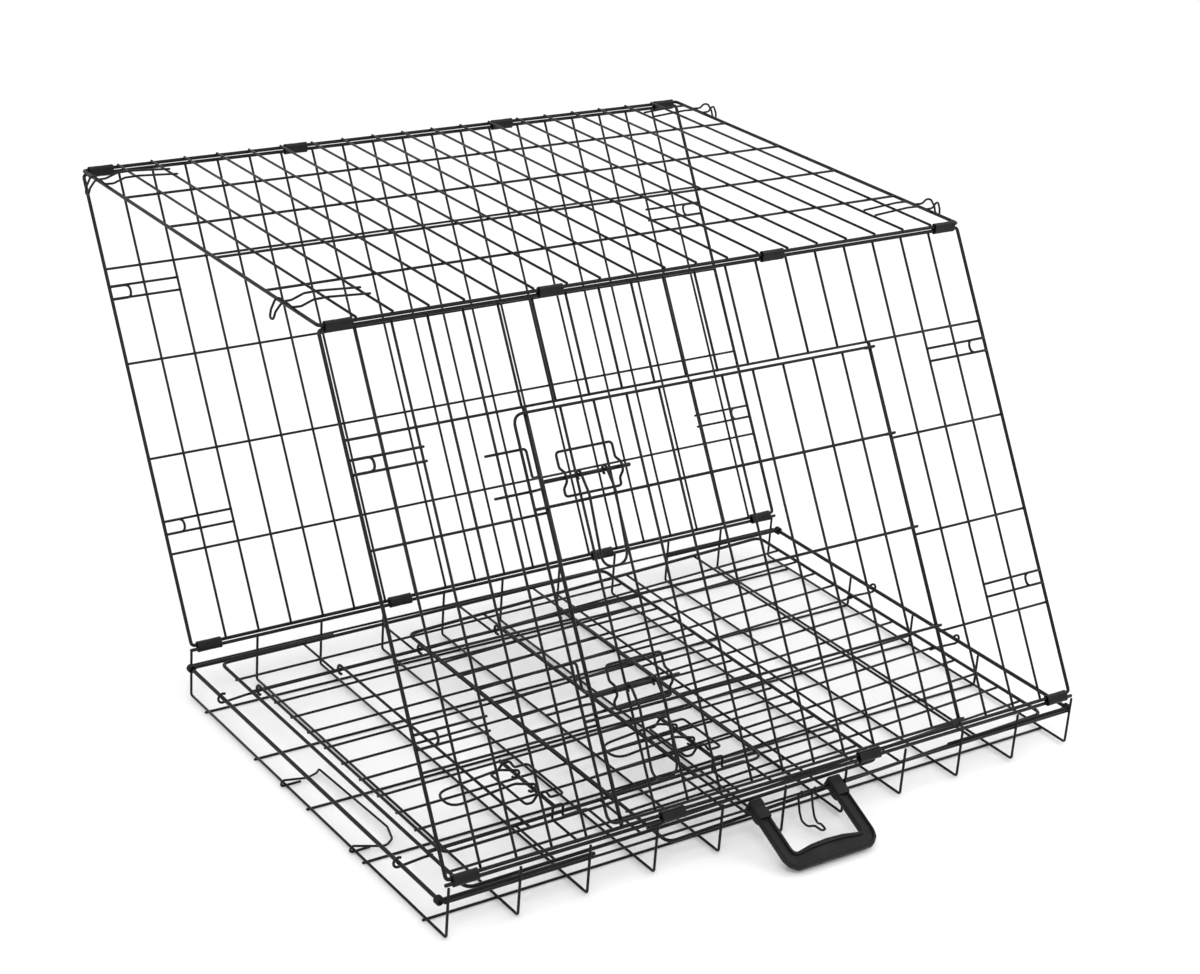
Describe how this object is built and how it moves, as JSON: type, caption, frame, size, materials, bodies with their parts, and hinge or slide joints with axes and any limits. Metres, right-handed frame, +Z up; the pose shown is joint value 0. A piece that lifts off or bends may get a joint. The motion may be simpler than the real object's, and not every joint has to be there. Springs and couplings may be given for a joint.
{
  "type": "wire dog crate",
  "caption": "Folding wire crate, half collapsed: sides and top lean as a parallelogram over end panels that lie on the base, with latched doors and a carry handle.",
  "frame": {"origin": "centre of the base's footprint on the floor, under the middle lengthwise floor wire", "axes": "+X along the front from the end with the door to the plain end, +Y from front to back, +Z up"},
  "size_m": [0.96, 0.9983, 0.6047],
  "materials": {
    "coated_wire": "satin black coated steel wire",
    "coated_sheet": "satin black coated sheet steel",
    "handle_plastic": "matte black moulded plastic"
  },
  "bodies": {
    "base": {"base_floor": "coated_wire", "base_front_wall": "coated_wire", "base_back_wall": "coated_wire", "base_post_1": "coated_wire", "base_post_2": "coated_wire", "base_post_3": "coated_wire", "left_end_rod": "coated_wire", "right_end_rod": "coated_wire"},
    "front_side": {"front_panel": "coated_wire", "front_upper_latch_keeper": "coated_wire", "front_lower_latch_keeper": "coated_wire", "hinge_clip_front_low_1": "coated_sheet", "hinge_clip_front_low_2": "coated_sheet", "hinge_clip_front_low_3": "coated_sheet", "hinge_clip_front_low_4": "coated_sheet"},
    "back_side": {"back_panel": "coated_wire", "hinge_clip_back_low_1": "coated_sheet", "hinge_clip_back_low_2": "coated_sheet", "hinge_clip_back_low_3": "coated_sheet", "hinge_clip_back_low_4": "coated_sheet"},
    "top": {"top_panel": "coated_wire", "top_hook_left_front": "coated_wire", "top_hook_left_back": "coated_wire", "top_hook_right_front": "coated_wire", "top_hook_right_back": "coated_wire", "hinge_clip_front_high_1": "coated_sheet", "hinge_clip_front_high_2": "coated_sheet", "hinge_clip_front_high_3": "coated_sheet", "hinge_clip_front_high_4": "coated_sheet", "hinge_clip_back_high_1": "coated_sheet", "hinge_clip_back_high_2": "coated_sheet", "hinge_clip_back_high_3": "coated_sheet", "hinge_clip_back_high_4": "coated_sheet"},
    "front_door_leaf": {"front_door": "coated_wire", "front_upper_latch_guide": "coated_wire", "front_lower_latch_guide": "coated_wire"},
    "left_end": {"left_end_panel": "coated_wire", "end_upper_latch_keeper": "coated_wire", "end_lower_latch_keeper": "coated_wire"},
    "right_end": {"right_end_panel": "coated_wire"},
    "end_door_leaf": {"end_door": "coated_wire", "end_upper_latch_guide": "coated_wire", "end_lower_latch_guide": "coated_wire"},
    "carry_grip": {"carry_handle": "handle_plastic"},
    "fold_keeper": {"fold_hook": "coated_wire"},
    "tray_stop_loop": {"tray_stop": "coated_wire"},
    "front_upper_bolt": {"front_upper_latch_bolt": "coated_wire"},
    "front_upper_pull": {"front_upper_latch_handle": "coated_wire"},
    "front_lower_bolt": {"front_lower_latch_bolt": "coated_wire"},
    "front_lower_pull": {"front_lower_latch_handle": "coated_wire"},
    "end_upper_bolt": {"end_upper_latch_bolt": "coated_wire"},
    "end_upper_pull": {"end_upper_latch_handle": "coated_wire"},
    "end_lower_bolt": {"end_lower_latch_bolt": "coated_wire"},
    "end_lower_pull": {"end_lower_latch_handle": "coated_wire"}
  },
  "joints": [
    {"name": "front_fold", "type": "hinge", "parent": "base", "child": "front_side", "pos_m": [0, -0.301, 0.068], "axis": [1, 0, 0], "range_deg": [-39.4, 30.6]},
    {"name": "back_fold", "type": "hinge", "parent": "base", "child": "back_side", "pos_m": [0, 0.301, 0.068], "axis": [1, 0, 0], "range_deg": [-39.4, 30.6]},
    {"name": "top_fold", "type": "hinge", "parent": "back_side", "child": "top", "pos_m": [0, 0.60846, 0.58789], "axis": [1, 0, 0], "range_deg": [-30.6, 39.4]},
    {"name": "front_door_hinge", "type": "hinge", "parent": "front_side", "child": "front_door_leaf", "pos_m": [0.273, -0.17679, 0.27802], "axis": [0, 0.509, 0.8607], "range_deg": [0, 115]},
    {"name": "left_end_fold", "type": "hinge", "parent": "base", "child": "left_end", "pos_m": [-0.46, 0, 0.047], "axis": [0, -1, 0], "range_deg": [0, 1.5]},
    {"name": "right_end_fold", "type": "hinge", "parent": "base", "child": "right_end", "pos_m": [0.46, 0, 0.047], "axis": [0, 1, 0], "range_deg": [0, 1.2]},
    {"name": "end_door_hinge", "type": "hinge", "parent": "left_end", "child": "end_door_leaf", "pos_m": [-0.19001, 0.20625, 0.04936], "axis": [-1, 0, -0.0087], "range_deg": [0, 14]},
    {"name": "front_upper_bolt_slide", "type": "slide", "parent": "front_door_leaf", "child": "front_upper_bolt", "axis": [-1, 0, 0], "range_m": [0, 0.012]},
    {"name": "front_upper_pull_swing", "type": "hinge", "parent": "front_upper_bolt", "child": "front_upper_pull", "pos_m": [-0.1665, -0.10923, 0.41466], "axis": [-1, 0, 0], "range_deg": [0, 120]},
    {"name": "front_lower_bolt_slide", "type": "slide", "parent": "front_door_leaf", "child": "front_lower_bolt", "axis": [-1, 0, 0], "range_m": [0, 0.012]},
    {"name": "front_lower_pull_swing", "type": "hinge", "parent": "front_lower_bolt", "child": "front_lower_pull", "pos_m": [-0.1665, -0.23293, 0.2055], "axis": [-1, 0, 0], "range_deg": [0, 120]},
    {"name": "end_upper_bolt_slide", "type": "slide", "parent": "end_door_leaf", "child": "end_upper_bolt", "axis": [0, -1, 0], "range_m": [0, 0.012]},
    {"name": "end_upper_pull_swing", "type": "hinge", "parent": "end_upper_bolt", "child": "end_upper_pull", "pos_m": [-0.03212, -0.14525, 0.06214], "axis": [0, 1, 0], "range_deg": [0, 120]},
    {"name": "end_lower_bolt_slide", "type": "slide", "parent": "end_door_leaf", "child": "end_lower_bolt", "axis": [0, -1, 0], "range_m": [0, 0.012]},
    {"name": "end_lower_pull_swing", "type": "hinge", "parent": "end_lower_bolt", "child": "end_lower_pull", "pos_m": [-0.25711, -0.14525, 0.06017], "axis": [0, 1, 0], "range_deg": [0, 120]},
    {"name": "carry_handle_swing", "type": "hinge", "parent": "base", "child": "carry_grip", "pos_m": [0.018, -0.3015, 0.047], "axis": [-1, 0, 0], "range_deg": [0, 85]},
    {"name": "fold_hook_swing", "type": "hinge", "parent": "base", "child": "fold_keeper", "pos_m": [0.035, -0.3015, 0.047], "axis": [-1, 0, 0], "range_deg": [0, 60]},
    {"name": "tray_stop_swing", "type": "hinge", "parent": "base", "child": "tray_stop_loop", "pos_m": [-0.455, 0, 0.0044], "axis": [0, -1, 0], "range_deg": [0, 30]}
  ],
  "couplings": [
    {"joint": "back_fold", "follows": "front_fold", "ratio": 1},
    {"joint": "top_fold", "follows": "front_fold", "ratio": -1}
  ]
}
